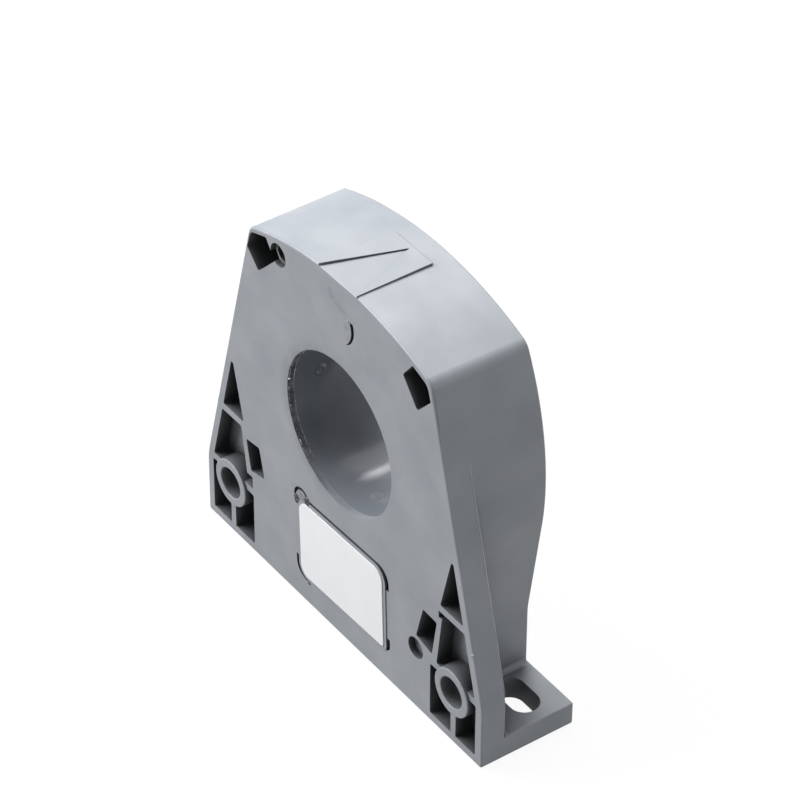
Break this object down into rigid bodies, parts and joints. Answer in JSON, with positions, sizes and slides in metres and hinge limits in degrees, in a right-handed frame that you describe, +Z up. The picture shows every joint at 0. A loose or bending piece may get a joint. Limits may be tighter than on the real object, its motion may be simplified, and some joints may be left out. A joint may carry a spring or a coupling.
{
  "type": "current transformer",
  "caption": "Window-type current transformer: a moulded housing with a round through-window, a slotted foot, a flange with ribbed corners and screw holes, and stud terminals behind.",
  "frame": {"origin": "middle of the foot's flat base, halfway through the body's depth", "axes": "+X along the foot, +Y along the window's axis from the labelled face to the terminals, +Z up from the base"},
  "size_m": [0.082, 0.0318, 0.0771],
  "materials": {
    "housing_plastic": "satin moulded grey thermoplastic",
    "cover_plastic": "satin moulded grey thermoplastic",
    "label_film": "white polyester film label",
    "resin": "cast dark resin",
    "core_steel": "wound electrical steel strip",
    "cap_plastic": "natural nylon core caps",
    "winding_copper": "enamelled copper wire",
    "tape_film": "amber polyester tape",
    "sleeve_plastic": "black insulating sleeve",
    "terminal_metal": "nickel-plated brass",
    "washer_steel": "bright zinc-plated steel"
  },
  "bodies": {
    "root": {"housing": "housing_plastic", "rear_cover": "cover_plastic", "rating_label": "label_film", "potting_resin": "resin", "ring_core": "core_steel", "core_cap_front": "cap_plastic", "core_cap_rear": "cap_plastic", "secondary_winding": "winding_copper", "winding_tape": "tape_film", "lead_wire_s1": "winding_copper", "lead_wire_s2": "winding_copper", "lead_sleeve_s1": "sleeve_plastic", "lead_sleeve_s2": "sleeve_plastic", "terminal_stud_s1": "terminal_metal", "terminal_stud_s2": "terminal_metal", "hex_nut_s1": "terminal_metal", "hex_nut_s2": "terminal_metal", "flat_washer_s1": "washer_steel", "flat_washer_s2": "washer_steel", "spring_washer_s1": "washer_steel", "spring_washer_s2": "washer_steel"}
  },
  "joints": []
}
